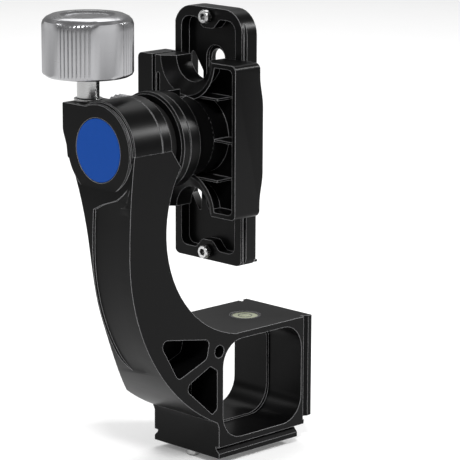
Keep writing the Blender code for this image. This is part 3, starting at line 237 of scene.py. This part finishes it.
def round_shading(limit):
    """Node group that joins the model's loose triangles and shades them round, except over sharp edges."""
    group = bpy.data.node_groups.new("round_shading", "GeometryNodeTree")
    for way in ("INPUT", "OUTPUT"):
        group.interface.new_socket("Mesh", in_out=way, socket_type="NodeSocketGeometry")
    kinds = ("NodeGroupInput", "GeometryNodeMergeByDistance", "GeometryNodeRemoveAttribute",
             "GeometryNodeSetShadeSmooth", "GeometryNodeSetShadeSmooth", "NodeGroupOutput")
    steps = [group.nodes.new(kind) for kind in kinds]
    joined, forget, edges = steps[1], steps[2], steps[4]
    joined.inputs["Distance"].default_value = WELD
    forget.inputs["Name"].default_value = "custom_normal"
    edges.domain = "EDGE"
    edges.inputs["Shade Smooth"].default_value = False
    for first, second in zip(steps, steps[1:]):
        group.links.new(first.outputs[0], second.inputs[0])
    bend = group.nodes.new("GeometryNodeInputMeshEdgeAngle")
    steep = group.nodes.new("ShaderNodeMath")
    steep.operation = "GREATER_THAN"
    steep.inputs[1].default_value = math.radians(limit)
    group.links.new(bend.outputs["Unsigned Angle"], steep.inputs[0])
    group.links.new(steep.outputs[0], edges.inputs["Selection"])
    return group


ROUND = round_shading(SHARP_BEND)


def fit(material, *nodes):
    for node in nodes:
        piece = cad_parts[node]
        piece.data.materials.clear()
        piece.data.materials.append(material)
        piece.modifiers.new("round_shading", "NODES").node_group = ROUND


black = anodised("black_anodising")
fit(black, "arm_frame")


# Two bronze sleeves are pressed into the housing, and the journal turns in them.
# Like all the turned pieces they carry fine lathe lines, and shade is painted dark into their grooves.
LATHE_LINES = 2500.0
LATHE_STRETCH = 0.02
LATHE_DEPTH = 0.01 * MM
TURNED_EDGE = 0.25 * MM
GROOVE_REACH = 2.5 * MM
GROOVE_SHADE_SHARE = 0.12
BRONZE_COLOUR, BRONZE_GLOSS = (0.45, 0.28, 0.12), 0.3


def turned_metal(name, shade, gloss, axis="Z"):
    metal = Finish(name, Metallic=1.0)
    squeeze = tuple(LATHE_LINES if letter == axis else LATHE_LINES * LATHE_STRETCH for letter in "XYZ")
    stretched = metal.node("ShaderNodeVectorMath", {"operation": "MULTIPLY"}, metal.spot(), squeeze)
    blur = metal.noise(stretched, 1.0, 2.0)
    broken = metal.rounded(4, TURNED_EDGE)
    # Painted shade: ambient occlusion darkens the colour in grooves and hollows, standing in for shade.
    open_sky = metal.node("ShaderNodeAmbientOcclusion", {"samples": 8}, Distance=GROOVE_REACH, out="AO")
    painted_groove_shade = (1 - open_sky).between(0.15, 0.75)
    polished = metal.blend(blur, tuple(part * 0.92 for part in shade), shade)
    colour = metal.blend(painted_groove_shade, polished, tuple(part * GROOVE_SHADE_SHARE for part in shade))
    skin = metal.node("ShaderNodeBump", {}, Strength=0.03, Distance=LATHE_DEPTH, Height=blur, Normal=broken)
    return metal.set(Base_Color=colour, Roughness=gloss + 0.06 * (blur - 0.5), Normal=skin)


bronze = turned_metal("bronze", BRONZE_COLOUR, BRONZE_GLOSS, axis="X")
fit(bronze, "rear_bearing", "front_bearing")


# The dust seal is a moulded rubber ring in the gap between the housing and the flange.
# It is squeezed in place and nothing else holds it.
RUBBER_DARK, RUBBER_PALE = (0.004, 0.004, 0.004), (0.007, 0.007, 0.007)
RUBBER_GRAIN = 700.0

rubber = Finish("rubber", Specular_IOR_Level=0.3)
bloom = rubber.noise(rubber.spot(), RUBBER_GRAIN, 3.0)
rubber.set(Base_Color=rubber.blend(bloom, RUBBER_DARK, RUBBER_PALE), Roughness=0.55 + 0.2 * bloom)
fit(rubber.material, "dust_seal")


# The tilt journal is a black turned shaft with a round flange. A steel washer and a countersunk screw hold
# it in the housing from the disc's side.
STEEL_COLOUR, STEEL_GLOSS = (0.60, 0.60, 0.60), 0.27

fit(black, "tilt_journal")
bright = turned_metal("bright_steel", STEEL_COLOUR, STEEL_GLOSS)
fit(bright, "retaining_washer", "retaining_screw")


# The lock: a bronze shoe bears on the journal, and a bright steel stud presses it through a thin washer.
# The large knob on the stud is turned aluminium with a satin silver face, and flutes are milled in its side.
SILVER_COLOUR, SILVER_GLOSS = (0.36, 0.36, 0.37), 0.26

fit(bronze, "brake_shoe")
fit(bright, "lock_stud", "stud_washer")
silver = turned_metal("satin_silver", SILVER_COLOUR, SILVER_GLOSS)
fit(silver, "lock_knob")


# The cap disc is a thin aluminium plate with a satin blue face, glued over the housing's bore.
# Its face is left bare.
BLUE_DEEP, BLUE_PALE = (0.003, 0.048, 0.25), (0.004, 0.052, 0.28)
BLUE_GRAIN = 400.0
DISC_EDGE = 0.3 * MM

ink = Finish("blue_disc", Roughness=0.45, Specular_IOR_Level=0.08)
mottle = ink.noise(ink.spot(), BLUE_GRAIN, 3.0)
face_skin = ink.node("ShaderNodeBump", {}, Strength=0.05, Distance=BLAST_DEPTH, Height=mottle,
                     Normal=ink.rounded(4, DISC_EDGE))
ink.set(Base_Color=ink.blend(mottle, BLUE_DEEP, BLUE_PALE), Normal=face_skin)
fit(ink.material, "cap_disc")


# The clamp is black anodised like the arm, and a steel bolt holds its hub to the journal.
# Its loose jaw runs on two pins against a spring, and a screw with a silver knob draws it in.
fit(black, "clamp_body", "movable_jaw")
fit(bright, "hub_bolt", "jaw_pin_lower", "jaw_pin_upper", "jaw_spring", "clamp_screw")
fit(silver, "clamp_knob")


# The lens plate is a milled black dovetail plate with a deep recess.
# Two steel screws with round heads and hexagon sockets stop it from sliding out of the clamp.
SOCKET_FLAT = 2.5
SOCKET_DEEP = 1.3
SOCKET_LEAD = 0.15
SOCKET_MOUTH = SOCKET_FLAT / 2 * 1.2
SHANK = 1.45
HEAD_BREAK = 0.35
PLATE_SCREW_HEAD = 2.2
FACETS = 48
SHARP_TURN = 30


def turn(name, profile, centre, axis, material, body, ring_shaped=False):
    """Lathes a closed piece from (place along the axis, radius) pairs; a radius may be a function of the angle."""
    shape = bmesh.new()
    rings = []
    for along, radius in profile:
        ring = []
        for step in range(FACETS):
            angle = 2 * math.pi * step / FACETS
            far = radius(angle) if callable(radius) else radius
            first, second = far * math.cos(angle), far * math.sin(angle)
            spot = (along, first, second) if axis == "X" else (first, second, along)
            ring.append(shape.verts.new((Vector(centre) + Vector(spot)) * MM))
        rings.append(ring)
    if not ring_shaped:
        shape.faces.new(rings[0])
        shape.faces.new(rings[-1])
    joined = rings + [rings[0]] if ring_shaped else rings
    for lower, upper in zip(joined, joined[1:]):
        for step in range(FACETS):
            after = (step + 1) % FACETS
            shape.faces.new((lower[step], lower[after], upper[after], upper[step]))
    bmesh.ops.recalc_face_normals(shape, faces=shape.faces)
    mesh = bpy.data.meshes.new(name)
    shape.to_mesh(mesh)
    shape.free()
    for face in mesh.polygons:
        face.use_smooth = True
    mesh.set_sharp_from_angle(angle=math.radians(SHARP_TURN))
    mesh.materials.append(material)
    piece = placed(name, mesh)
    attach(piece, body)
    return piece


def socket_wall(angle):
    return SOCKET_FLAT / 2 / math.cos(angle % (math.pi / 3) - math.pi / 6)


def socket_screw(node, body, head, axis):
    """Dresses a screw node from its own box: the socket opens at the low end of the axis."""
    spots = [vertex.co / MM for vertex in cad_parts[node].data.vertices]
    low, high = (Vector([pick(spot[k] for spot in spots) for k in range(3)]) for pick in (min, max))
    main = "XYZ".index(axis)
    centre = (low + high) / 2
    centre[main] = low[main]
    radius = (high.y - low.y) / 2
    length = high[main] - low[main]
    profile = [(SOCKET_DEEP, socket_wall), (SOCKET_LEAD, socket_wall), (0.0, SOCKET_MOUTH),
               (0.0, radius - HEAD_BREAK), (HEAD_BREAK, radius), (head, radius), (head, SHANK), (length, SHANK)]
    piece = turn(node + "_dressed", profile, centre, axis, bright, body)
    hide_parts(node)


fit(black, "lens_plate")
for node in ("stop_screw_top", "stop_screw_bottom"):
    socket_screw(node, "plate", PLATE_SCREW_HEAD, "X")


# Two steel screws under the dovetail foot keep it from sliding out of a tripod's clamp.
# They are as the plate's, with taller heads, and sit in shallow seats.
FOOT_SCREW_HEAD = 3.0

for node in ("foot_screw_left", "foot_screw_right"):
    socket_screw(node, "frame", FOOT_SCREW_HEAD, "Z")


# The level is a round cup pressed into the base's top, filled with pale fluid.
# A bubble floats under the glass, inside a thin black circle.
VIAL_PLACE = (10.85, 0.0, 50.8)
VIAL_RADIUS = 6.1
VIAL_DEEP = 1.6
CUP_WALL = 0.7
CUP_SINK = 0.05
CUP_BREAK_OUT, CUP_BREAK_IN = 0.2, 0.1
POOL_LIFT, POOL_PLAY = 0.1, 0.02
POOL_DIP = ((0.35, VIAL_RADIUS - CUP_WALL - POOL_PLAY), (0.3, 3.6), (0.28, 1.8), (0.27, 0.4))
CIRCLE_RADIUS, CIRCLE_LINE = 2.6, 0.3
CIRCLE_LOW, CIRCLE_HIGH = -0.27, -0.2
BUBBLE_RADIUS = 1.7
BUBBLE_FORM = ((0.26, 1.0), (0.12, 0.9), (0.04, 0.6), (0.0, 0.2))
FLUID_DEEP, FLUID_PALE = (0.30, 0.32, 0.22), (0.36, 0.38, 0.27)
FLUID_GRAIN = 120.0

fluid = Finish("level_fluid", Roughness=0.12)
fluid.set(Base_Color=fluid.blend(fluid.noise(fluid.spot(), FLUID_GRAIN, 2.0), FLUID_DEEP, FLUID_PALE))

bore = VIAL_RADIUS - CUP_WALL
cup_form = [(-VIAL_DEEP, bore), (-VIAL_DEEP, VIAL_RADIUS), (-CUP_SINK - CUP_BREAK_OUT, VIAL_RADIUS),
            (-CUP_SINK, VIAL_RADIUS - CUP_BREAK_OUT), (-CUP_SINK, bore + CUP_BREAK_IN),
            (-CUP_SINK - CUP_BREAK_IN, bore)]
pool_form = [(-VIAL_DEEP + POOL_LIFT, bore - POOL_PLAY)] + [(-dip, radius) for dip, radius in POOL_DIP]
circle_edge = CIRCLE_RADIUS + CIRCLE_LINE
circle_form = [(CIRCLE_LOW, CIRCLE_RADIUS), (CIRCLE_HIGH, CIRCLE_RADIUS), (CIRCLE_HIGH, circle_edge),
               (CIRCLE_LOW, circle_edge)]
bubble_form = [(-dip, BUBBLE_RADIUS * share) for dip, share in BUBBLE_FORM]

turn("vial_cup", cup_form, VIAL_PLACE, "Z", black, "frame", ring_shaped=True)
pool = turn("vial_fluid", pool_form, VIAL_PLACE, "Z", fluid.material, "frame")
turn("vial_circle", circle_form, VIAL_PLACE, "Z", black, "frame", ring_shaped=True)
turn("vial_bubble", bubble_form, VIAL_PLACE, "Z", fluid.material, "frame")
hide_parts("level_vial")
